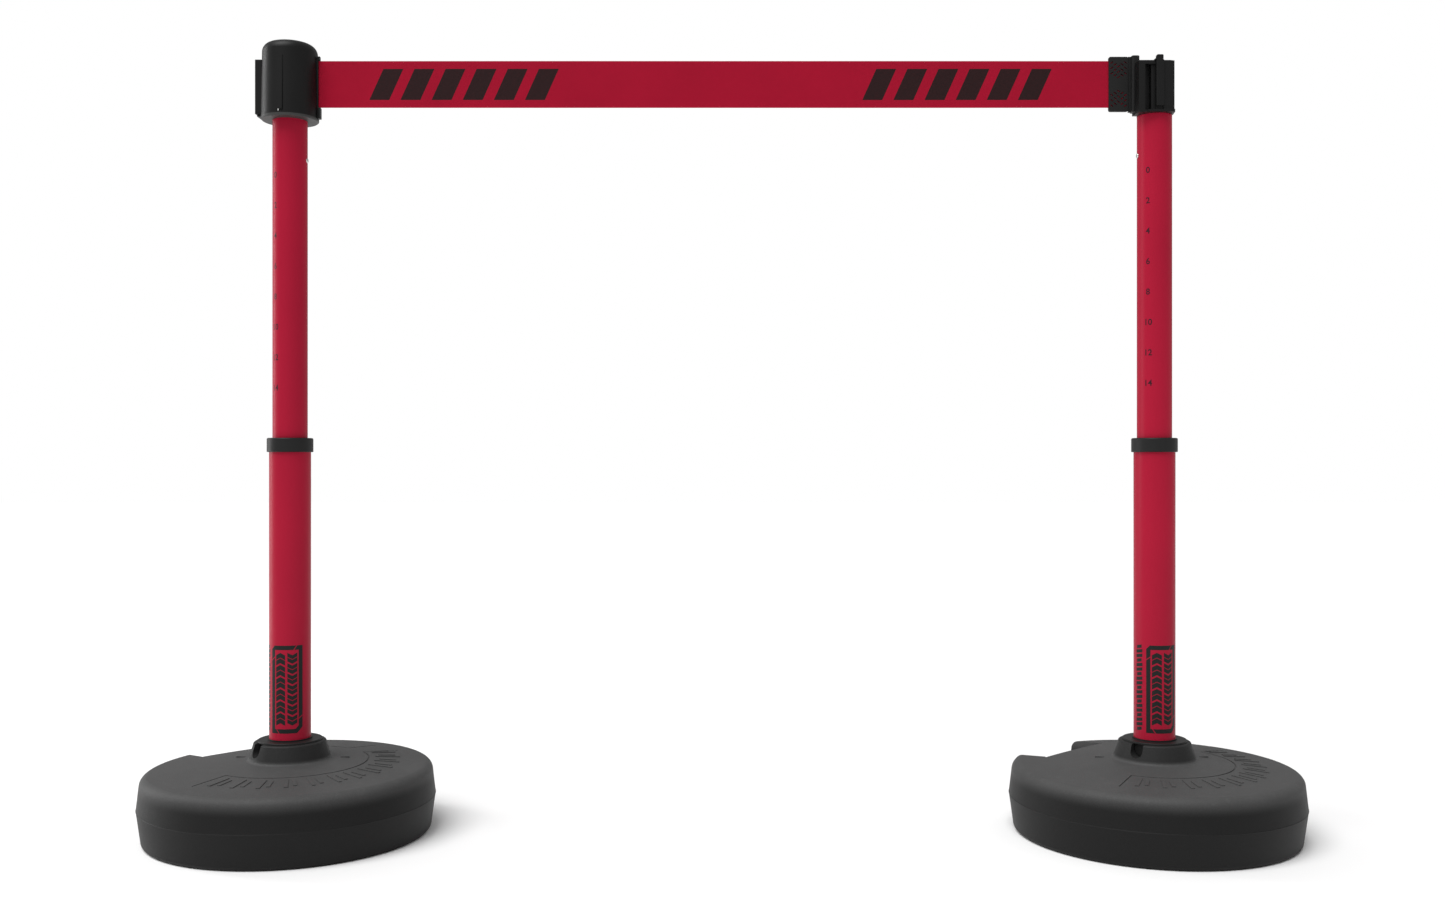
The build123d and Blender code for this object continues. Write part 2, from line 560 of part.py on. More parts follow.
CLIP_CENTRE_X = RIGHT_X + (CLIP_X + CLIP_NECK_X) / 2
CLIP_CENTRE_Z = (CLIP_Z + CLIP_TOP_Z) / 2
CLIP_W, CLIP_H = CLIP_NECK_X - CLIP_X, CLIP_TOP_Z - CLIP_Z
for name, facing in (("clip_front_plate", -1), ("clip_rear_plate", 1)):
    face = Plane(origin=(CLIP_CENTRE_X, 0, CLIP_CENTRE_Z), x_dir=(1, 0, 0), z_dir=(0, facing, 0))
    with BuildPart() as plate:
        with BuildSketch(face.offset(BELT_T / 2)):
            RectangleRounded(CLIP_W, CLIP_H, 2.5)
        extrude(amount=CLIP_PLATE_T)
        chamfer(plate.faces().sort_by(Axis.Y)[0 if facing < 0 else -1].outer_wire().edges(), 0.5)
        # perforations that show the belt: two chevron fields of small slanted windows
        with BuildSketch(face.offset(BELT_T / 2)):
            for half in (-1, 1):
                for column in range(-2, 3):
                    for row in range(3):
                        rise = half * (9.5 + 7.2 * row + 2.6 * abs(column))
                        lean = 35 * half * (1 if column * facing >= 0 else -1)
                        with Locations(Location((column * 4.6, rise, 0), (0, 0, lean))):
                            SlotOverall(4.6, 1.4)
        extrude(amount=CLIP_PLATE_T, mode=Mode.SUBTRACT)
        # pins above and below the belt's edges
        with BuildSketch(face.offset(0.02)):
            with GridLocations(CLIP_W - 10, CLIP_H - 4.6, 2, 2):
                Circle(1.3)
        extrude(amount=BELT_T)
    save(plate, name)

# hook bar: a bead outside the receiver, a thin neck through its mouth and a tee inside its pocket
HEAD_X = -RECEIVER_FLAT + SLOT_LIP
with BuildPart() as tee_bar:
    with BuildSketch(Plane(origin=(RIGHT_X, 0, BEAD_Z))):
        with Locations(((CLIP_NECK_X + BEAD_END_X) / 2, 0)):
            Rectangle(BEAD_END_X - CLIP_NECK_X, 3.4)
    extrude(amount=CLIP_TOP_Z - BEAD_Z)
    with BuildSketch(Plane(origin=(RIGHT_X, 0, BEAD_Z))):
        with Locations(((BEAD_X + BEAD_END_X) / 2, 0)):
            RectangleRounded(BEAD_END_X - BEAD_X, 13.0, 3.0)
    extrude(amount=BEAD_TOP_Z - BEAD_Z)
    chamfer(tee_bar.faces().sort_by(Axis.Z)[-1].edges(), 0.8)
    with BuildSketch(Plane(origin=(RIGHT_X, 0, SLOT_FLOOR_Z + 0.2))):
        with Locations((-19.6, 0)):
            Rectangle(4.4, 3.6)
        with Locations((HEAD_X + SLOT_DEPTH / 2, 0)):
            Rectangle(SLOT_DEPTH - 0.9, SLOT_POCKET - 0.9)
    extrude(amount=CLIP_TOP_Z - SLOT_FLOOR_Z - 8)
save(tee_bar, "clip_tee_bar")

# ================================================================ receiver
right_rivet = outward_plane(RIGHT_X, RIVET_AZIMUTH["right"], 0, RIVET_Z)
CHANNEL_Z, CHANNEL_TOP_Z = UPPER_TOP_Z + 3, RECEIVER_TOP_Z - 5
LATCH_SEAT_Y, LATCH_Y, LATCH_Z = -24.0, -29.5, UPPER_TOP_Z + 8
with BuildPart() as receiver_body:
    # foot flange that the clip's bead comes down on
    with BuildSketch(Plane(origin=(RIGHT_X, 0, UPPER_TOP_Z))):
        with BuildLine():
            Polyline(
                (-30.5, -6.5),
                (-16.0, -29.0),
                (13.0, -29.0),
                (19.6, -26.4),
                (21.6, -12.0),
                (21.6, 8.2),
                (9.2, 21.6),
                (-9.2, 21.6),
                (-21.6, 8.2),
                (-21.6, -1.0),
                (-30.5, -1.0),
                close=True,
            )
        make_face()
    extrude(amount=SLOT_FLOOR_Z - UPPER_TOP_Z)
    # body with an ear in front of the clip's bead, a bevel beside the latch and cut back corners
    with BuildSketch(Plane(origin=(RIGHT_X, 0, UPPER_TOP_Z))):
        with BuildLine():
            Polyline(
                (-RECEIVER_FLAT, EAR_Y),
                (EAR_X, EAR_Y),
                (EAR_X, -RECEIVER_FRONT),
                (BEVEL_X, -RECEIVER_FRONT),
                (19.4, -24.2),
                (RECEIVER_FLAT, -12.0),
                (RECEIVER_FLAT, 8.0),
                (9.0, RECEIVER_FLAT),
                (-9.0, RECEIVER_FLAT),
                (-RECEIVER_FLAT, 8.0),
                close=True,
            )
        make_face()
    extrude(amount=RECEIVER_TOP_Z - UPPER_TOP_Z)
    # three hook slots, closed below and open at the top
    with BuildSketch(Plane(origin=(RIGHT_X, 0, SLOT_FLOOR_Z))):
        hook_slots((0, 90, 180))
    extrude(amount=90, mode=Mode.SUBTRACT)
    # deep channel beside the latch, and the shallower step between them
    with BuildSketch(Plane(origin=(RIGHT_X, 0, CHANNEL_Z))):
        with Locations(((CHANNEL_X + STEP_X) / 2, -24)):
            Rectangle(STEP_X - CHANNEL_X, 18)
        with Locations(((STEP_X + LATCH_X) / 2, -28.5)):
            Rectangle(LATCH_X - STEP_X + 0.4, 10)
    extrude(amount=CHANNEL_TOP_Z - CHANNEL_Z, mode=Mode.SUBTRACT)
    # seat of the latch, and a shallow pocket under it
    with BuildSketch(Plane(origin=(RIGHT_X, 0, LATCH_Z))):
        with Locations(((LATCH_X + LATCH_END_X) / 2, LATCH_SEAT_Y - 5)):
            Rectangle(LATCH_END_X - LATCH_X, 10)
    extrude(amount=90, mode=Mode.SUBTRACT)
    with BuildSketch(Plane(origin=(RIGHT_X, 0, CHANNEL_Z))):
        with Locations((-2.5, -30.5)):
            Rectangle(13.0, 10)
    extrude(amount=4.2, mode=Mode.SUBTRACT)
    # central bolt hole with a recess for the cap
    with BuildSketch(Plane(origin=(RIGHT_X, 0, UPPER_TOP_Z))):
        Circle(BOLT_R)
    extrude(amount=90, mode=Mode.SUBTRACT)
    with BuildSketch(Plane(origin=(RIGHT_X, 0, RECEIVER_TOP_Z - 9))):
        Circle(CAP_R)
    extrude(amount=20, mode=Mode.SUBTRACT)
save(receiver_body, "receiver_body")

# spring finger at the front with a thumb nub and a ramped shoulder
with BuildPart() as latch_finger:
    with BuildSketch(Plane(origin=(RIGHT_X, 0, LATCH_Z))):
        with Locations(((LATCH_X + LATCH_END_X) / 2, (LATCH_SEAT_Y + LATCH_Y) / 2)):
            RectangleRounded(LATCH_END_X - LATCH_X - 0.1, LATCH_SEAT_Y - LATCH_Y, 1.2)
    extrude(amount=RECEIVER_TOP_Z - LATCH_Z)
    nub_z = RECEIVER_TOP_Z + 6.8
    with BuildSketch(Plane(origin=(RIGHT_X, LATCH_SEAT_Y - 0.4, 0), x_dir=(1, 0, 0), z_dir=(0, -1, 0))):
        with BuildLine():
            ramp = Polyline(
                (-6.0, RECEIVER_TOP_Z - 1),
                (-6.0, RECEIVER_TOP_Z + 0.15),
                (-9.0, RECEIVER_TOP_Z + 0.15),
                (-5.6, RECEIVER_TOP_Z + 3.4),
                (-5.6, nub_z - 1.4),
            )
            top_left = RadiusArc(ramp @ 1, (-4.2, nub_z), 1.4)
            across = Line(top_left @ 1, (1.8, nub_z))
            top_right = RadiusArc(across @ 1, (3.2, nub_z - 1.4), 1.4)
            Polyline(top_right @ 1, (3.2, RECEIVER_TOP_Z - 1), ramp @ 0)
        make_face()
    extrude(amount=LATCH_SEAT_Y - 0.4 - LATCH_Y)
save(latch_finger, "latch_finger")

with BuildPart() as receiver_spigot:
    with BuildSketch(Plane(origin=(RIGHT_X, 0, UPPER_TOP_Z - SPIGOT_LENGTH))):
        Circle(UPPER_BORE)
        Circle(UPPER_BORE - 3.5, mode=Mode.SUBTRACT)
    extrude(amount=SPIGOT_LENGTH - 8)
    with BuildSketch(Plane(origin=(RIGHT_X, 0, UPPER_TOP_Z - 8))):
        Circle(UPPER_BORE)
        Circle(BOLT_R, mode=Mode.SUBTRACT)
    extrude(amount=8)
    with BuildSketch(right_rivet):
        Circle(2.0)
    extrude(amount=UPPER_R + 5, mode=Mode.SUBTRACT)
save(receiver_spigot, "receiver_spigot")

with BuildPart() as receiver_bolt:
    with BuildSketch(Plane(origin=(RIGHT_X, 0, UPPER_TOP_Z - 14))):
        Circle(BOLT_R)
    extrude(amount=RECEIVER_TOP_Z - UPPER_TOP_Z + 5)
    with BuildSketch(Plane(origin=(RIGHT_X, 0, RECEIVER_TOP_Z - 9))):
        RegularPolygon(5.2, 6)
    extrude(amount=4)
save(receiver_bolt, "receiver_bolt")

with BuildPart() as receiver_nut:
    with BuildSketch(Plane(origin=(RIGHT_X, 0, UPPER_TOP_Z - 13))):
        RegularPolygon(5.2, 6)
        Circle(BOLT_R, mode=Mode.SUBTRACT)
    extrude(amount=5)
save(receiver_nut, "receiver_nut")

with BuildPart() as bolt_cap:
    with BuildSketch(Plane(origin=(RIGHT_X, 0, RECEIVER_TOP_Z - 4.6))):
        Circle(CAP_R)
    extrude(amount=4.6)
    with BuildSketch(Plane(origin=(RIGHT_X, 0, RECEIVER_TOP_Z))):
        Circle(8.2)
    extrude(amount=1.2)
    fillet(bolt_cap.edges().group_by(Axis.Z)[-1], 0.6)
save(bolt_cap, "receiver_bolt_cap")
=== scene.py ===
"""The looks of a two-post retractable belt barrier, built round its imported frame.

Metres, +Z up, -Y the front, +X along the belt from the cassette post to the receiver post. Each
sub-assembly is a class that builds its own meshes and dresses the frame's parts.
"""

from __future__ import annotations

import json
import logging
import math
from collections.abc import Sequence
from dataclasses import dataclass, field
from enum import Enum
from functools import cached_property

import bmesh
import bpy
from mathutils import Matrix, Vector

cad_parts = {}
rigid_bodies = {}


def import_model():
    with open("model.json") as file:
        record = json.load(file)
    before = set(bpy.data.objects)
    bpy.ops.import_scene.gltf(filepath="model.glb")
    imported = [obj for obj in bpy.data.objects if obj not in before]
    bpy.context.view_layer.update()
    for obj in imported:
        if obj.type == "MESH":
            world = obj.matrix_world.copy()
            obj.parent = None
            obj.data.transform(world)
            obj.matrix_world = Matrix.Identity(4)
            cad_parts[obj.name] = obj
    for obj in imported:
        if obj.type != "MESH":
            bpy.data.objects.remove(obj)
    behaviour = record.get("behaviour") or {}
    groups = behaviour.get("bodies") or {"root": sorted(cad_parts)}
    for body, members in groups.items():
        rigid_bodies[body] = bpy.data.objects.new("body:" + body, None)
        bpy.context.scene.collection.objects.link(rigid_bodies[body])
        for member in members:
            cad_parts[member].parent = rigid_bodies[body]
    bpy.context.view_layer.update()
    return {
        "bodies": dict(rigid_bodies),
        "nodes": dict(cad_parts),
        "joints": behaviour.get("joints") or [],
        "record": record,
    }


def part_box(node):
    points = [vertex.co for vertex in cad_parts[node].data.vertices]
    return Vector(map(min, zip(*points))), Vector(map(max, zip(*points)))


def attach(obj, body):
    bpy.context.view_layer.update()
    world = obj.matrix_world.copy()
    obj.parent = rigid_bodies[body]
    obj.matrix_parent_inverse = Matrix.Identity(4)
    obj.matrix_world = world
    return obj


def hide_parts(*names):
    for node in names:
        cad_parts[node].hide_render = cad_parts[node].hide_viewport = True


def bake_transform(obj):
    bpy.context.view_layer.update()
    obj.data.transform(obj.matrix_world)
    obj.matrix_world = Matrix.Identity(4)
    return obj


LOG = logging.getLogger("barrier")
MM = 0.001
Point = tuple[float, float]


# ---------------------------------------------------------------- shader expressions
class Signal:
    """A node socket with arithmetic: an expression on signals adds the Math nodes it needs."""

    def __init__(self, recipe: "Recipe", socket: bpy.types.NodeSocket) -> None:
        """Keep the recipe that owns the socket."""
        self.recipe = recipe
        self.socket = socket

    def _math(self, operation: str, *operands: "Signal | float") -> "Signal":
        """Add one Math node on the given operands."""
        inputs = {number: operand for number, operand in enumerate(operands)}
        return self.recipe.node("ShaderNodeMath", {"operation": operation}, inputs)

    def __add__(self, other: "Signal | float") -> "Signal":
        """Sum."""
        return self._math("ADD", self, other)

    def __radd__(self, other: float) -> "Signal":
        """Sum, with the number first."""
        return self._math("ADD", other, self)

    def __sub__(self, other: "Signal | float") -> "Signal":
        """Difference."""
        return self._math("SUBTRACT", self, other)

    def __mul__(self, other: "Signal | float") -> "Signal":
        """Product."""
        return self._math("MULTIPLY", self, other)

    def __gt__(self, other: "Signal | float") -> "Signal":
        """One where this signal is greater, else zero."""
        return self._math("GREATER_THAN", self, other)

    def __lt__(self, other: "Signal | float") -> "Signal":
        """One where this signal is less, else zero."""
        return self._math("LESS_THAN", self, other)

    def __abs__(self) -> "Signal":
        """Absolute value."""
        return self._math("ABSOLUTE", self)

    def __mod__(self, other: "Signal | float") -> "Signal":
        """Remainder that never falls below zero."""
        return self._math("FLOORED_MODULO", self, other)

    def sine(self) -> "Signal":
        """Sine."""
        return self._math("SINE", self)

    def ramp(self, low: float, high: float, out_low: float = 0.0, out_high: float = 1.0) -> "Signal":
        """Map one range smoothly onto another, with both ends held.

        Args:
            low: signal value that gives out_low.
            high: signal value that gives out_high.
            out_low: output at low.
            out_high: output at high.

        Returns:
            The mapped signal.
        """
        settings = {"interpolation_type": "SMOOTHSTEP"}
        inputs = {"Value": self, "From Min": low, "From Max": high, "To Min": out_low, "To Max": out_high}
        return self.recipe.node("ShaderNodeMapRange", settings, inputs)


class Recipe:
    """A material under construction: one Principled shader and the nodes that feed it."""

    def __init__(self, name: str) -> None:
        """Start an empty material with its shader and output."""
        self.material = bpy.data.materials.new(name)
        self.material.use_nodes = True
        self.tree = self.material.node_tree
        self.tree.nodes.clear()
        self.shader = self.tree.nodes.new("ShaderNodeBsdfPrincipled")
        output = self.tree.nodes.new("ShaderNodeOutputMaterial")
        self.tree.links.new(self.shader.outputs[0], output.inputs[0])

    def node(
        self, kind: str, settings: dict | None = None, inputs: dict | None = None, output: int | str = 0
    ) -> Signal:
        """Add any node.

        Args:
            kind: the node's type name.
            settings: attributes set first, or colour ramp stops under "stops".
            inputs: socket name or number to a value or a signal.
            output: the socket to return.

        Returns:
            The chosen output as a signal.
        """
        made = self.tree.nodes.new(kind)
        for key, value in (settings or {}).items():
            if key == "stops":
                ramp = made.color_ramp
                while len(ramp.elements) < len(value):
                    ramp.elements.new(1.0)
                for element, (place, colour) in zip(ramp.elements, value):
                    element.position, element.color = place, (*colour, 1.0)
            else:
                setattr(made, key, value)
        for key, value in (inputs or {}).items():
            self.plug(made.inputs[key], value)
        return Signal(self, made.outputs[output])

    def plug(self, socket: bpy.types.NodeSocket, value: "Signal | float | Sequence[float]") -> None:
        """Link a signal to a socket, or set the socket's own value."""
        if isinstance(value, Signal):
            self.tree.links.new(value.socket, socket)
        elif isinstance(value, (tuple, list)) and len(value) == 3 and socket.type == "RGBA":
            socket.default_value = (*value, 1.0)
        else:
            socket.default_value = value

    def feed(self, **sockets: "Signal | float | Sequence[float]") -> None:
        """Feed the Principled shader; an underscore in a name stands for a space."""
        for name, value in sockets.items():
            self.plug(self.shader.inputs[name.replace("_", " ")], value)

    def place(self) -> Signal:
        """Object coordinates, in metres in the row's frame."""
        return self.node("ShaderNodeTexCoord", output="Object")

    def cloth_map(self) -> Signal:
        """The piece's own UV map, laid out in metres."""
        return self.node("ShaderNodeUVMap", {"uv_map": Meshing.UV_NAME})

    def axes(self, vector: Signal) -> tuple[Signal, Signal, Signal]:
        """Split a vector into its three components."""
        split = self.node("ShaderNodeSeparateXYZ", inputs={0: vector}, output=0)
        return split, Signal(self, split.socket.node.outputs[1]), Signal(self, split.socket.node.outputs[2])

    def stretch(self, vector: Signal, scale: Sequence[float]) -> Signal:
        """Scale a vector along each of its axes."""
        return self.node("ShaderNodeMapping", inputs={"Vector": vector, "Scale": scale})

    def noise(self, vector: Signal, scale: float, detail: float = 2.0, rough: float = 0.5) -> Signal:
        """Noise value around one half, with features about 1/scale metres across."""
        inputs = {"Vector": vector, "Scale": scale, "Detail": detail, "Roughness": rough}
        return self.node("ShaderNodeTexNoise", inputs=inputs)

    def tint(self, factor: "Signal | float", dark: Sequence[float], light: Sequence[float]) -> Signal:
        """Blend between two colours."""
        settings = {"data_type": "RGBA", "clamp_factor": True}
        return self.node("ShaderNodeMix", settings, {0: factor, 6: dark, 7: light}, output=2)

    def bump(self, height: Signal, depth: float, below: Signal | None = None) -> Signal:
        """Turn a height signal into a normal, on top of an earlier one if given."""
        inputs = {"Height": height, "Distance": depth}
        if below is not None:
            inputs["Normal"] = below
        return self.node("ShaderNodeBump", inputs=inputs)


def shade(colour: Sequence[float], gain: float) -> tuple[float, float, float]:
    """A colour made lighter or darker by a gain."""
    return tuple(min(1.0, channel * gain) for channel in colour)


# ---------------------------------------------------------------- finishes
@dataclass(frozen=True)
class MouldedPlastic:
    """Injection or blow moulded plastic with a fine etched grain."""

    name: str
    colour: tuple[float, float, float]
    roughness: float = 0.42
    grain: float = 1400.0
    grain_depth: float = 0.00006
    mottle: float = 0.12
    scuffs: float = 0.25

    def make(self) -> bpy.types.Material:
        """Build the material."""
        recipe = Recipe(self.name)
        place = recipe.place()
        cloud = recipe.noise(place, 22.0, 3.0)
        fine = recipe.noise(place, self.grain, 2.0, 0.6)
        streak_map = recipe.stretch(place, (300.0, 300.0, 25.0))
        scuff = recipe.noise(streak_map, 1.0, 4.0, 0.7).ramp(0.62, 0.80) * self.scuffs
        tone = cloud * self.mottle + fine * (self.mottle * 0.8) + scuff * 0.5
        recipe.feed(
            Base_Color=recipe.tint(tone, shade(self.colour, 0.82), shade(self.colour, 1.9)),
            Roughness=self.roughness + (fine - 0.5) * 0.14 + scuff * 0.3 + (cloud - 0.5) * 0.1,
            Normal=recipe.bump(fine, self.grain_depth),
            Specular_IOR_Level=0.22,
        )
        return recipe.material


@dataclass(frozen=True)
class GrainedCasting:
    """The base's blow moulded skin: pebbled on its top, smoother round its wall. The top is coloured far
    lighter than the wall, a painted highlight standing for the light from above.
    """

    name: str
    wall: tuple[float, float, float]
    # colour of the top: far lighter than the wall, a painted highlight of the overhead light
    painted_lit_deck: tuple[float, float, float]
    # heights where the painted highlight fades in over the rim, and where it mostly fades out again on the
    # hub
    rim_heights: Point = (0.066, 0.089)
    hub_heights: Point = (0.101, 0.106)
    hub_share: float = 0.22
    pebble: float = 620.0
    pebble_depth: float = 0.00022

    def make(self) -> bpy.types.Material:
        """Build the material."""
        recipe = Recipe(self.name)
        place = recipe.place()
        _, _, height = recipe.axes(place)
        # mask of the top that carries the painted highlight; the hub top keeps only a share of it
        painted_lit_deck = height.ramp(*self.rim_heights) * height.ramp(*self.hub_heights, 1.0, self.hub_share)
        cell_inputs = {"Vector": place, "Scale": self.pebble}
        cells = recipe.node("ShaderNodeTexVoronoi", {"feature": "F1"}, cell_inputs)
        fine = recipe.noise(place, 1900.0, 2.0, 0.6)
        cloud = recipe.noise(place, 14.0, 4.0, 0.6)
        dust = recipe.noise(place, 90.0, 5.0, 0.7).ramp(0.50, 0.78)
        pebbles = cells * (0.35 + painted_lit_deck * 0.65)
        tone = cloud * 0.35 + fine * 0.20 + dust * painted_lit_deck * 0.22 + cells * 0.18
        # the tone's ends turn to the lighter top colour on that mask: painted light from above
        dark = recipe.tint(painted_lit_deck, shade(self.wall, 0.7), shade(self.painted_lit_deck, 0.7))
        light = recipe.tint(painted_lit_deck, shade(self.wall, 1.6), shade(self.painted_lit_deck, 1.6))
        relief = recipe.bump(pebbles, self.pebble_depth)
        recipe.feed(
            Base_Color=recipe.tint(tone, dark, light),
            Roughness=0.50 + (fine - 0.5) * 0.12 + cloud * 0.10 + painted_lit_deck * 0.04,
            Normal=recipe.bump(fine, 0.00005, below=relief),
            Specular_IOR_Level=0.20,
        )
        return recipe.material


@dataclass(frozen=True)
class PowderCoat:
    """Satin powder coat on a drawn tube: orange peel, slight tone drift, fine rub marks."""

    name: str
    colour: tuple[float, float, float]
    roughness: float = 0.40

    def make(self) -> bpy.types.Material:
        """Build the material."""
        recipe = Recipe(self.name)
        place = recipe.place()
        peel = recipe.noise(place, 420.0, 2.0, 0.5)
        speck = recipe.noise(place, 2600.0, 1.0)
        drift = recipe.noise(place, 9.0, 3.0)
        long_map = recipe.stretch(place, (900.0, 900.0, 9.0))
        rubs = recipe.noise(long_map, 1.0, 3.0, 0.6).ramp(0.60, 0.85)
        tone = 0.30 + (drift - 0.5) * 0.5 + (speck - 0.5) * 0.25 + rubs * 0.12
        recipe.feed(
            Base_Color=recipe.tint(tone, shade(self.colour, 0.88), shade(self.colour, 1.25)),
            Roughness=self.roughness + (peel - 0.5) * 0.10 + rubs * 0.10,
            Normal=recipe.bump(peel, 0.00004, below=recipe.bump(speck, 0.00001)),
            Specular_IOR_Level=0.12,
        )
        return recipe.material


@dataclass(frozen=True)
class ScreenPrint:
    """Dense screen printing ink, very slightly broken where it lies on the coat."""

    name: str
    colour: tuple[float, float, float]

    def make(self) -> bpy.types.Material:
        """Build the material."""
        recipe = Recipe(self.name)
        place = recipe.place()
        speck = recipe.noise(place, 1800.0, 2.0)
        recipe.feed(
            Base_Color=recipe.tint(speck.ramp(0.35, 0.75), self.colour, shade(self.colour, 1.7)),
            Roughness=0.46 + (speck - 0.5) * 0.2,
            Normal=recipe.bump(speck, 0.00002),
            Specular_IOR_Level=0.15,
        )
        return recipe.material


@dataclass(frozen=True)
class TurnedMetal:
    """Bright or blued steel with fine turning marks."""

    name: str
    colour: tuple[float, float, float]
    roughness: float = 0.25

    def make(self) -> bpy.types.Material:
        """Build the material."""
        recipe = Recipe(self.name)
        place = recipe.place()
        turned_map = recipe.stretch(place, (200.0, 200.0, 6000.0))
        marks = recipe.noise(turned_map, 1.0, 2.0)
        haze = recipe.noise(place, 300.0, 3.0)
        recipe.feed(
            Base_Color=recipe.tint(haze, shade(self.colour, 0.85), shade(self.colour, 1.1)),
            Metallic=1.0,
            Roughness=self.roughness + (marks - 0.5) * 0.12 + (haze - 0.5) * 0.1,
            Normal=recipe.bump(marks, 0.00001),
        )
        return recipe.material


@dataclass(frozen=True)
class BeltWebbing:
    """Woven polyester webbing with dark slanted bars printed in two groups.

    The cloth map runs in metres: along the belt from the cassette post's axis, and across it from the
    belt's middle.
    """

    name: str
    colour: tuple[float, float, float]
    ink: tuple[float, float, float]
    groups: tuple[Point, ...]
    bar_height: float
    bars: int = 6
    slant: float = 0.45
    pick: float = 0.0011
    end: float = 0.00085

    def printed(self, recipe: Recipe, along: Signal, across: Signal) -> Signal:
        """Mask of the printed bars.

        Args:
            recipe: the material being built.
            along: metres along the belt.
            across: metres from the belt's middle.

        Returns:
            One on the ink, zero elsewhere.
        """
        leaning = along - across * self.slant
        inside = abs(across) < self.bar_height / 2
        mask: Signal | None = None
        for start, stop in self.groups:
            pitch = (stop - start) / self.bars
            phase = (leaning - start) % pitch
            group = (phase < pitch * 0.64) * (leaning > start) * (leaning < stop)
            mask = group if mask is None else mask + group
        return mask * inside

    def make(self) -> bpy.types.Material:
        """Build the material."""
        recipe = Recipe(self.name)
        cloth = recipe.cloth_map()
        along, across, _ = recipe.axes(cloth)
        warp = (across * (2 * math.pi / self.end)).sine()
        weft = (along * (2 * math.pi / self.pick)).sine()
        weave = warp * weft
        fibre_map = recipe.stretch(cloth, (180.0, 2600.0, 1.0))
        fibre = recipe.noise(fibre_map, 1.0, 3.0, 0.6)
        drift = recipe.noise(cloth, 12.0, 3.0)
        selvedge = abs(across).ramp(0.0286, 0.0302)
        ink = self.printed(recipe, along, across) * (0.96 + (fibre - 0.5) * 0.16)
        tone = 0.36 + weave * 0.14 + (fibre - 0.5) * 0.35 + (drift - 0.5) * 0.3 + selvedge * 0.1
        yarn = recipe.tint(tone, shade(self.colour, 0.72), shade(self.colour, 1.45))
        recipe.feed(
            Base_Color=recipe.tint(ink, yarn, self.ink),
            Roughness=0.78 + (fibre - 0.5) * 0.2 - ink * 0.18,
            Normal=recipe.bump(weave * 0.5 + fibre * 0.35, 0.00016),
            Specular_IOR_Level=0.09,
        )
        return recipe.material


class Finish(Enum):
    """The finishes of the barrier, by the record's material slots and the prints."""

    # the base's top colour, ten times its wall's, is a painted highlight of the light from above
    BASE = GrainedCasting("base_black", (0.0062, 0.0062, 0.0062), (0.062, 0.062, 0.062))
    CAP = MouldedPlastic("cap_black", (0.010, 0.010, 0.010), 0.42)
    SEAL = MouldedPlastic("seal_rubber", (0.008, 0.008, 0.008), 0.75, grain=900.0, grain_depth=0.00004)
    FITTING = MouldedPlastic("fitting_black", (0.012, 0.012, 0.012), 0.48)
    POST = PowderCoat("post_red", (0.365, 0.0068, 0.030))
    NYLON = MouldedPlastic(
        "bearing_nylon",
        (0.45, 0.45, 0.42),
        roughness=0.5,
        grain=700.0,
        grain_depth=0.00003,
        mottle=0.2,
        scuffs=0.1,
    )
    STEEL = TurnedMetal("bright_steel", (0.72, 0.72, 0.70), 0.2)
    SPRING = TurnedMetal("spring_steel", (0.22, 0.24, 0.28), 0.32)
    HEAD = MouldedPlastic("head_black", (0.0062, 0.0062, 0.0062), 0.44, grain=1500.0, grain_depth=0.00005)
    # the cassette's floor is light grey in place of black: painted bounce light from the floor below
    BOUNCE_LIT_UNDERSIDE = MouldedPlastic("head_underside", (0.045, 0.045, 0.044), 0.50)
    CLIP = MouldedPlastic("clip_black", (0.011, 0.011, 0.011), 0.50, grain=1300.0)
    PRINT = ScreenPrint("print_ink", (0.010, 0.011, 0.011))
    SCALE = ScreenPrint("scale_ink", (0.036, 0.006, 0.012))
    ROLL = MouldedPlastic("belt_roll_red", (0.20, 0.005, 0.014), 0.8, grain=600.0, grain_depth=0.00005)
    BELT = BeltWebbing(
        "belt_red",
        (0.345, 0.0042, 0.024),
        (0.010, 0.009, 0.009),
        groups=((0.1165, 0.3685), (0.7820, 1.0340)),
        bar_height=0.042,
    )

    @cached_property
    def material(self) -> bpy.types.Material:
        """The finish's material, made the first time it is asked for."""
        return self.value.make()


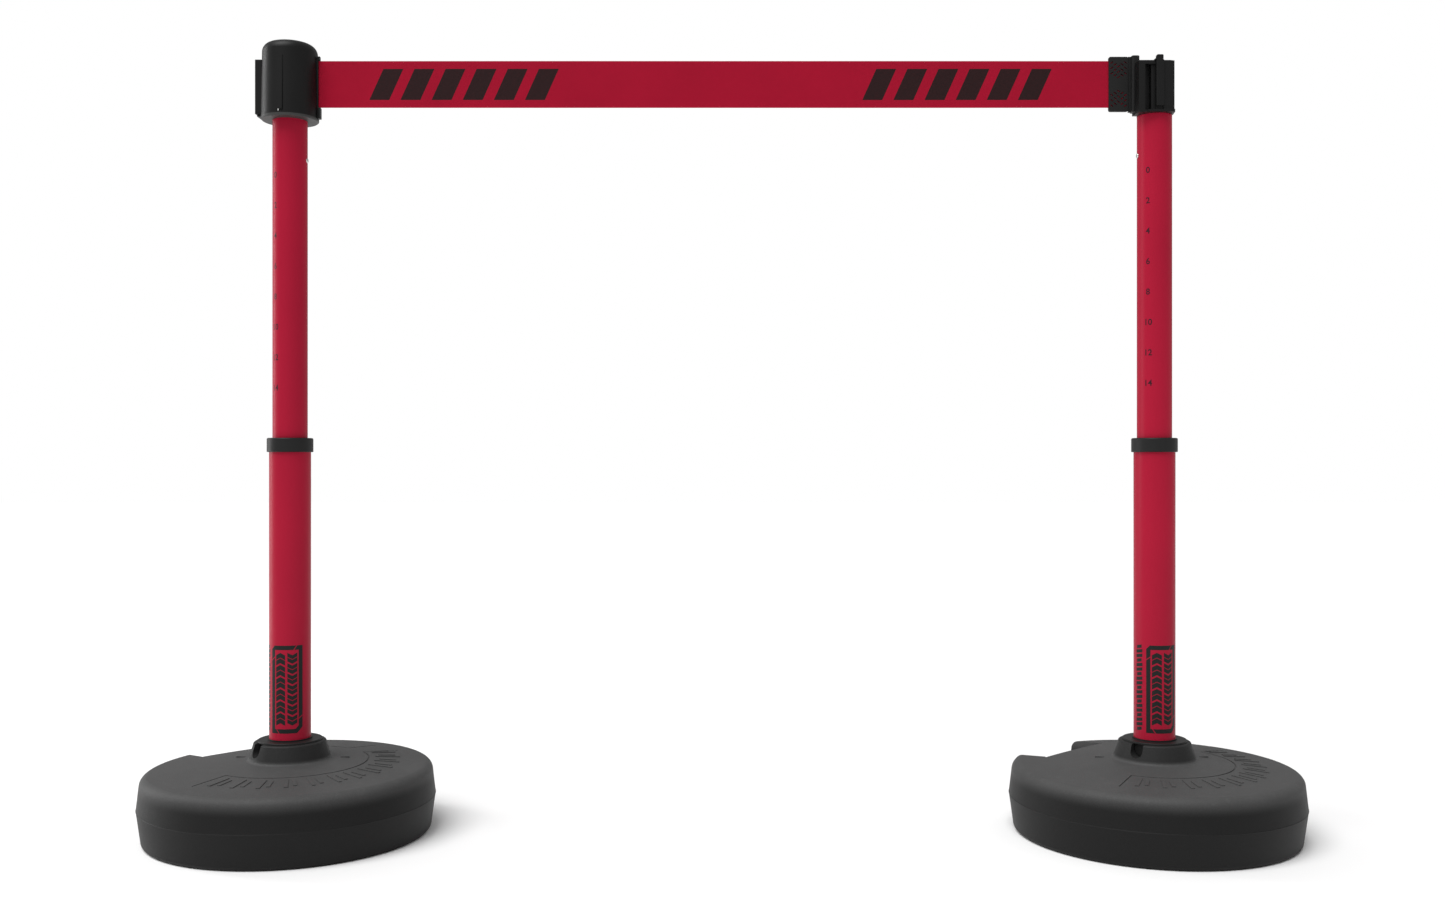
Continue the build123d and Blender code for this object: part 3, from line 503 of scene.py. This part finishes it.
# ---------------------------------------------------------------- meshes
class Meshing:
    """Small steps shared by the pieces' bmesh work."""

    UV_NAME = "cloth"

    @staticmethod
    def piece(
        name: str, mesh: bmesh.types.BMesh, finish: Finish, body: str | None, slot: str, smooth: float = 35.0
    ) -> bpy.types.Object:
        """Turn a bmesh into a piece of the barrier.

        Args:
            name: the piece's name.
            mesh: the finished bmesh, which is freed.
            finish: what it is dressed in.
            body: the body it rides on, or None for a piece left unattached.
            slot: the record's material slot; not used.
            smooth: edges sharper than this many degrees stay sharp.

        Returns:
            The new object.
        """
        for face in mesh.faces:
            face.smooth = True
        limit = math.radians(smooth)
        for edge in mesh.edges:
            edge.smooth = not (len(edge.link_faces) == 2 and edge.calc_face_angle(0.0) > limit)
        data = bpy.data.meshes.new(name)
        mesh.to_mesh(data)
        mesh.free()
        data.materials.append(finish.material)
        made = bpy.data.objects.new(name, data)
        bpy.context.scene.collection.objects.link(made)
        if body:
            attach(made, body)
        LOG.info("piece %s: %d faces", name, len(data.polygons))
        return made

    @staticmethod
    def tile(mesh: bmesh.types.BMesh, outline: Sequence[Point], thickness: float, step: float) -> None:
        """Add a flat tile in the X-Z plane, cut into strips so that it can be wrapped round a tube.

        Args:
            mesh: the bmesh that receives the tile.
            outline: its corners in order, as (x, z).
            thickness: how far it stands out along +Y.
            step: the widest strip.
        """
        face = mesh.faces.new([mesh.verts.new((x, 0.0, z)) for x, z in outline])
        Meshing.raise_strips(mesh, [face], thickness, step)

    @staticmethod
    def raise_strips(
        mesh: bmesh.types.BMesh, faces: Sequence[bmesh.types.BMFace], thickness: float, step: float
    ) -> None:
        """Cut flat faces in the X-Z plane into strips and give them a thickness.

        Args:
            mesh: the bmesh that holds them.
            faces: the flat faces.
            thickness: how far they stand out along +Y.
            step: the widest strip.
        """
        reach = [vert.co.x for face in faces for vert in face.verts]
        low, high = min(reach), max(reach)
        cuts = int((high - low) / step)
        for number in range(1, cuts + 1):
            place = low + (high - low) * number / (cuts + 1)
            edges = {edge for face in faces for edge in face.edges}
            verts = {vert for face in faces for vert in face.verts}
            cut = bmesh.ops.bisect_plane(
                mesh, geom=[*faces, *edges, *verts], plane_co=(place, 0, 0), plane_no=(1, 0, 0)
            )
            faces = [item for item in cut["geom"] if isinstance(item, bmesh.types.BMFace)]
        raised = bmesh.ops.extrude_face_region(mesh, geom=faces)
        verts = [item for item in raised["geom"] if isinstance(item, bmesh.types.BMVert)]
        bmesh.ops.translate(mesh, verts=verts, vec=(0, thickness, 0))

    @staticmethod
    def wrap(mesh: bmesh.types.BMesh, axis_x: float, radius: float, azimuth: float) -> None:
        """Bend a flat layout round a post: x becomes arc length to the right, y stands out.

        Args:
            mesh: the layout, drawn in the X-Z plane.
            axis_x: the post's axis.
            radius: the tube's radius.
            azimuth: where x = 0 lands, in degrees from +X.
        """
        for vert in mesh.verts:
            angle = math.radians(azimuth) + vert.co.x / radius
            reach = radius + vert.co.y
            vert.co = Vector((axis_x + reach * math.cos(angle), reach * math.sin(angle), vert.co.z))
        bmesh.ops.recalc_face_normals(mesh, faces=mesh.faces[:])


# ---------------------------------------------------------------- posts
@dataclass
class Post:
    """One base with its telescoping tube and the prints on it."""

    side: str
    frame: dict
    ink: float = 0.045 * MM
    panel_size: Point = (44.0 * MM, 117.0 * MM)
    emblem_reach: float = 7.9 * MM
    panel_foot: float = 138.0 * MM
    panel_azimuth: float = 276.5
    dash_azimuth: float = 207.0
    dash_count: int = 19
    dash_run: float = 116.0 * MM
    dash_widths: Point = (11.0 * MM, 8.5 * MM)
    dash_height: float = 4.4 * MM
    dash_lean: float = 1.6 * MM
    stroke: float = 5.8 * MM
    strip: float = 1.4 * MM
    scale_pitch: float = 40.7 * MM
    scale_steps: int = 8
    scale_azimuth: float = 231.5
    scale_drop: float = 23.0 * MM
    numeral_size: float = 11.5 * MM
    numeral_weight: float = 0.2 * MM

    def tube(self, part: str) -> Point:
        """A tube's axis along X, and its outer radius."""
        low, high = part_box(self.node(part))
        return (low.x + high.x) / 2, (high.x - low.x) / 2

    def node(self, part: str) -> str:
        """Full name of one of this side's nodes."""
        return f"{self.side}_{part}"

    def dress(self) -> None:
        """Give the frame's own parts their finishes."""
        finishes = {
            "base_shell": Finish.BASE,
            "fill_cap": Finish.CAP,
            "fill_gasket": Finish.SEAL,
            "stop_flange": Finish.FITTING,
            "key_lug": Finish.FITTING,
            "lower_tube": Finish.POST,
            "tube_end_plug": Finish.FITTING,
            "lock_collar": Finish.FITTING,
            "clamp_collet": Finish.NYLON,
            "guide_bush": Finish.NYLON,
            "upper_tube": Finish.POST,
            "stop_rivet": Finish.STEEL,
        }
        for part, finish in finishes.items():
            paint(self.frame, self.node(part), finish)

    def frame_outline(self, mesh: bmesh.types.BMesh) -> None:
        """Draw the printed frame: four bars with cut corners, parted by slanted slits."""
        width, height = self.panel_size
        x, z, t = width / 2, height / 2, self.stroke
        cut, slit = 5.0 * MM, 1.3 * MM
        bars = (
            # top bar, to the slit at its right
            [(-x + cut, z), (x - 9 * MM, z), (x - 13 * MM, z - t), (-x + cut + 1 * MM, z - t)],
            # top right hook and the right bar
            [(x - 9 * MM + slit, z), (x, z), (x, -z + 24 * MM), (x - t, -z + 20 * MM), (x - t, z - t),
             (x - 13 * MM + slit, z - t)],
            # bottom right hook and the bottom bar
            [(x, -z + 24 * MM - slit), (x, -z + 8 * MM), (x - 8 * MM, -z), (-x + 13 * MM, -z),
             (-x + 9 * MM, -z + t), (x - 10 * MM, -z + t), (x - t, -z + 10 * MM),
             (x - t, -z + 20 * MM - slit)],
            # bottom left hook and the left bar
            [(-x + 13 * MM - slit, -z), (-x, -z), (-x, z - 20 * MM), (-x + t, z - 16 * MM), (-x + t, -z + t),
             (-x + 9 * MM - slit, -z + t)],
            # top left hook
            [(-x, z - 20 * MM + slit), (-x, z - cut), (-x + cut, z), (-x + cut + 1 * MM, z - t),
             (-x + t, z - cut - 1 * MM), (-x + t, z - 16 * MM + slit)],
        )
        for outline in bars:
            Meshing.tile(mesh, outline, self.ink, self.strip)

    def emblem_column(self, mesh: bmesh.types.BMesh, centre: float, count: int, flip: bool) -> None:
        """Draw a column of plain chevron blocks inside the printed frame.

        Args:
            mesh: the layout.
            centre: the column's middle.
            count: how many blocks.
            flip: whether the chevrons point down.
        """
        tall, wide = 96.0 * MM, 13.0 * MM
        pitch = tall / count
        for number in range(count):
            foot = -tall / 2 + number * pitch
            rise = -3.4 * MM if flip else 3.4 * MM
            lift = max(0.0, -rise)
            band = (pitch - 3.2 * MM) / 2
            for layer in (0.0, band + 0.9 * MM):
                z = foot + layer + lift
                left, right = centre - wide / 2, centre + wide / 2
                foot_line = [(left, z), (centre, z + rise), (right, z)]
                outline = foot_line + [(x, height + band) for x, height in reversed(foot_line)]
                Meshing.tile(mesh, outline, self.ink, self.strip)

    def print_panel(self) -> None:
        """Build the framed emblem and the dashed line beside it on the lower tube."""
        mesh = bmesh.new()
        self.frame_outline(mesh)
        self.emblem_column(mesh, -self.emblem_reach, 6, False)
        self.emblem_column(mesh, self.emblem_reach, 7, True)
        middle = self.panel_foot + self.panel_size[1] / 2
        bmesh.ops.translate(mesh, verts=mesh.verts[:], vec=(0, 0, middle))
        Meshing.wrap(mesh, *self.tube("lower_tube"), self.panel_azimuth)
        Meshing.piece(self.node("panel_print"), mesh, Finish.PRINT, self.node("post"), "post_red")

        dashes = bmesh.new()
        for number in range(self.dash_count):
            foot = self.panel_foot + 1.5 * MM + number * self.dash_run / self.dash_count
            wide, narrow = self.dash_widths
            right = (wide if number % 3 else narrow) / 2
            foot_line = [(-right, foot), (right, foot + self.dash_lean)]
            outline = foot_line + [(x, height + self.dash_height) for x, height in reversed(foot_line)]
            Meshing.tile(dashes, outline, self.ink, self.strip)
        Meshing.wrap(dashes, *self.tube("lower_tube"), self.dash_azimuth)
        Meshing.piece(self.node("dash_print"), dashes, Finish.PRINT, self.node("post"), "post_red")

    def print_scale(self) -> None:
        """Build the height scale on the upper tube: even numbers one above another."""
        low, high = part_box(self.node("stop_rivet"))
        zero = (low.z + high.z) / 2 - self.scale_drop
        mesh = bmesh.new()
        for step in range(self.scale_steps):
            self.numeral(mesh, str(2 * step), zero - step * self.scale_pitch)
        Meshing.wrap(mesh, *self.tube("upper_tube"), self.scale_azimuth)
        Meshing.piece(self.node("scale_print"), mesh, Finish.SCALE, self.node("mast"), "post_red")

    def numeral(self, mesh: bmesh.types.BMesh, text: str, z: float) -> None:
        """Add a number to a flat layout.

        Args:
            mesh: the layout.
            text: the digits.
            z: height of their middle.
        """
        curve = bpy.data.curves.new("numeral", "FONT")
        curve.body, curve.size, curve.offset = text, self.numeral_size, self.numeral_weight
        curve.align_x, curve.align_y = "CENTER", "CENTER"
        curve.resolution_u = 3
        holder = bpy.data.objects.new("numeral", curve)
        flat = bpy.data.meshes.new_from_object(holder)
        glyph = bmesh.new()
        glyph.from_mesh(flat)
        bmesh.ops.remove_doubles(glyph, verts=glyph.verts[:], dist=0.001 * MM)
        upright = Matrix.Rotation(math.pi / 2, 3, "X")
        bmesh.ops.rotate(glyph, verts=glyph.verts[:], cent=(0, 0, 0), matrix=upright)
        Meshing.raise_strips(glyph, glyph.faces[:], self.ink, self.strip)
        bmesh.ops.translate(glyph, verts=glyph.verts[:], vec=(0, 0, z))
        glyph.to_mesh(flat)
        glyph.free()
        mesh.from_mesh(flat)
        bpy.data.objects.remove(holder)
        bpy.data.curves.remove(curve)
        bpy.data.meshes.remove(flat)

    def build(self) -> None:
        """Dress the parts and add the prints."""
        self.dress()
        self.print_panel()
        self.print_scale()


def paint(frame: dict, node: str, finish: Finish) -> None:
    """Put a finish on one of the frame's own parts."""
    slots = frame["nodes"][node].material_slots
    if not slots:
        frame["nodes"][node].data.materials.append(finish.material)
        return
    for slot in slots:
        slot.material = finish.material


# ---------------------------------------------------------------- heads
@dataclass
class Heads:
    """The cassette on the left mast and the receiver on the right one."""

    frame: dict
    finishes: dict[str, Finish] = field(
        default_factory=lambda: {
            # painted bounce light: a lighter finish on the cassette's floor
            "cassette_floor": Finish.BOUNCE_LIT_UNDERSIDE,
            "cassette_body": Finish.HEAD,
            "cassette_foot_screw": Finish.STEEL,
            "cassette_rear_rail": Finish.HEAD,
            "belt_exit_frame": Finish.HEAD,
            "reel_spindle": Finish.STEEL,
            "belt_spool": Finish.NYLON,
            "return_spring": Finish.SPRING,
            "spring_arbor": Finish.STEEL,
            "belt_roll": Finish.ROLL,
            "clip_front_plate": Finish.CLIP,
            "clip_rear_plate": Finish.CLIP,
            "clip_tee_bar": Finish.CLIP,
            "receiver_body": Finish.HEAD,
            "latch_finger": Finish.HEAD,
            "receiver_spigot": Finish.FITTING,
            "receiver_bolt": Finish.STEEL,
            "receiver_nut": Finish.STEEL,
            "receiver_bolt_cap": Finish.HEAD,
        }
    )

    def build(self) -> None:
        """Dress every part of both heads and the clip."""
        for node, finish in self.finishes.items():
            paint(self.frame, node, finish)


# ---------------------------------------------------------------- belt
@dataclass
class Belt:
    """The stretched webbing between the cassette's exit and the clip."""

    width: float = 63.0 * MM
    thickness: float = 0.62 * MM
    selvedge: float = 0.16 * MM
    selvedge_from: float = 0.93
    lift_zone: float = 0.130
    ripple: float = 0.25 * MM
    columns: int = 420
    rows: int = 14

    def strip(self, name: str, start: float, stop: float, origin: float, z: float) -> bpy.types.Object:
        """Build one stretch of webbing.

        Args:
            name: the piece's name.
            start: its left end.
            stop: its right end.
            origin: where the cloth map's zero lies along X.
            z: height of the belt's middle.

        Returns:
            The webbing, riding on nothing yet.
        """
        mesh = bmesh.new()
        columns = max(8, round(self.columns * (stop - start)))
        bmesh.ops.create_grid(mesh, x_segments=columns, y_segments=self.rows, size=0.5)
        for vert in mesh.verts:
            along = start + (vert.co.x + 0.5) * (stop - start)
            across = vert.co.y * self.width
            vert.co = Vector((along, 0.0, z + across))
        bmesh.ops.recalc_face_normals(mesh, faces=mesh.faces[:])
        mesh.normal_update()
        bmesh.ops.solidify(mesh, geom=mesh.faces[:], thickness=self.thickness)
        bmesh.ops.recalc_face_normals(mesh, faces=mesh.faces[:])
        middle = sum(vert.co.y for vert in mesh.verts) / len(mesh.verts)
        for vert in mesh.verts:
            across = vert.co.z - z
            edge = abs(across) / (self.width / 2)
            thick = 1.0 + (self.selvedge / self.thickness if edge > self.selvedge_from else 0.0)
            wave = math.sin(vert.co.x * 9.0) * math.cos(across * 40.0 + vert.co.x * 3.0)
            vert.co.y = (vert.co.y - middle) * thick + self.ripple * wave
        cloth = mesh.loops.layers.uv.new(Meshing.UV_NAME)
        for face in mesh.faces:
            for loop in face.loops:
                loop[cloth].uv = (loop.vert.co.x - origin, loop.vert.co.z - z)
        return Meshing.piece(name, mesh, Finish.BELT, None, "belt_red")

    def build(self) -> None:
        """Build the long stretch of webbing and the short one next to the clip."""
        low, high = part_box("belt_web")
        z = (low.z + high.z) / 2
        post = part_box("reel_spindle")
        origin = (post[0].x + post[1].x) / 2
        clip_low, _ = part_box("clip_front_plate")
        split = clip_low.x - self.lift_zone
        run = self.strip("belt_webbing", low.x, split, origin, z)
        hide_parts("belt_web")
        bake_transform(run)
        tail = self.strip("belt_webbing_tail", split, high.x, origin, z)
        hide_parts("belt_web")
        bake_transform(tail)


# ---------------------------------------------------------------- studio
@dataclass
class Studio:
    """Plain pale floor, soft lights and a level camera."""

    camera_place: tuple[float, float, float] = (0.0003, -1.897, 0.501)
    lens: float = 35.0
    sensor: float = 36.0
    ambient: float = 0.42
    backdrop: float = 1.0

    def camera(self) -> None:
        """Set up the camera, level and square to the belt."""
        data = bpy.data.cameras.new("camera")
        data.lens, data.sensor_width, data.sensor_fit = self.lens, self.sensor, "HORIZONTAL"
        data.clip_start, data.clip_end = 0.01, 50.0
        view = bpy.data.objects.new("camera", data)
        view.location = self.camera_place
        view.rotation_euler = (math.pi / 2, 0, 0)
        bpy.context.scene.collection.objects.link(view)
        bpy.context.scene.camera = view

    def floor(self) -> None:
        """Lay the floor."""
        mesh = bmesh.new()
        bmesh.ops.create_grid(mesh, x_segments=1, y_segments=1, size=15.0)
        data = bpy.data.meshes.new("floor")
        mesh.to_mesh(data)
        mesh.free()
        recipe = Recipe("floor_white")
        tone = recipe.noise(recipe.place(), 3.0, 2.0)
        recipe.feed(Base_Color=recipe.tint(tone, (0.95, 0.95, 0.95), (0.97, 0.97, 0.97)), Roughness=0.9)
        data.materials.append(recipe.material)
        floor = bpy.data.objects.new("floor", data)
        bpy.context.scene.collection.objects.link(floor)

    def sun(self, name: str, source: tuple, spread: float, strength: float) -> None:
        """Add one broad, far light.

        Args:
            name: its name.
            source: direction that it comes from.
            spread: its angular size in degrees.
            strength: irradiance square to it.
        """
        data = bpy.data.lights.new(name, "SUN")
        data.angle, data.energy = math.radians(spread), strength
        lamp = bpy.data.objects.new(name, data)
        lamp.rotation_euler = Vector(source).to_track_quat("Z", "Y").to_euler()
        bpy.context.scene.collection.objects.link(lamp)

    def panel(self, name: str, place: tuple, aim: tuple, size: Point, power: float) -> None:
        """Add one soft rectangular light.

        Args:
            name: its name.
            place: where it hangs.
            aim: the point it faces.
            size: its width and height.
            power: watts.
        """
        data = bpy.data.lights.new(name, "AREA")
        data.shape, data.size, data.size_y, data.energy = "RECTANGLE", size[0], size[1], power
        lamp = bpy.data.objects.new(name, data)
        lamp.location = place
        lamp.rotation_euler = (Vector(aim) - Vector(place)).to_track_quat("-Z", "Y").to_euler()
        bpy.context.scene.collection.objects.link(lamp)

    def surround(self) -> None:
        """Make the white surround, which lights the object less than it shows."""
        world = bpy.data.worlds.new("surround")
        world.use_nodes = True
        tree = world.node_tree
        background = tree.nodes["Background"]
        background.inputs["Color"].default_value = (1.0, 1.0, 1.0, 1.0)
        path = tree.nodes.new("ShaderNodeLightPath")
        level = tree.nodes.new("ShaderNodeMapRange")
        level.inputs["To Min"].default_value = self.ambient
        level.inputs["To Max"].default_value = self.backdrop
        tree.links.new(path.outputs["Is Camera Ray"], level.inputs["Value"])
        tree.links.new(level.outputs[0], background.inputs["Strength"])
        bpy.context.scene.world = world

    def build(self) -> None:
        """Set up camera, floor, lights and surroundings."""
        self.camera()
        self.floor()
        self.surround()
        self.sun("overhead", (-0.35, -0.45, 1.0), 45.0, 2.5)
        self.panel("rim_left", (-3.2, 0.9, 1.1), (0.0, 0.0, 0.6), (0.6, 2.4), 28.0)
        bpy.context.scene.view_settings.view_transform = "Standard"


def main() -> None:
    """Build the barrier's looks, piece by piece."""
    logging.basicConfig(level=logging.INFO, format="%(name)s: %(message)s")
    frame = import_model()
    Studio().build()
    Belt().build()
    for side in ("left", "right"):
        Post(side, frame).build()
    Heads(frame).build()


if __name__ == "__main__":
    main()
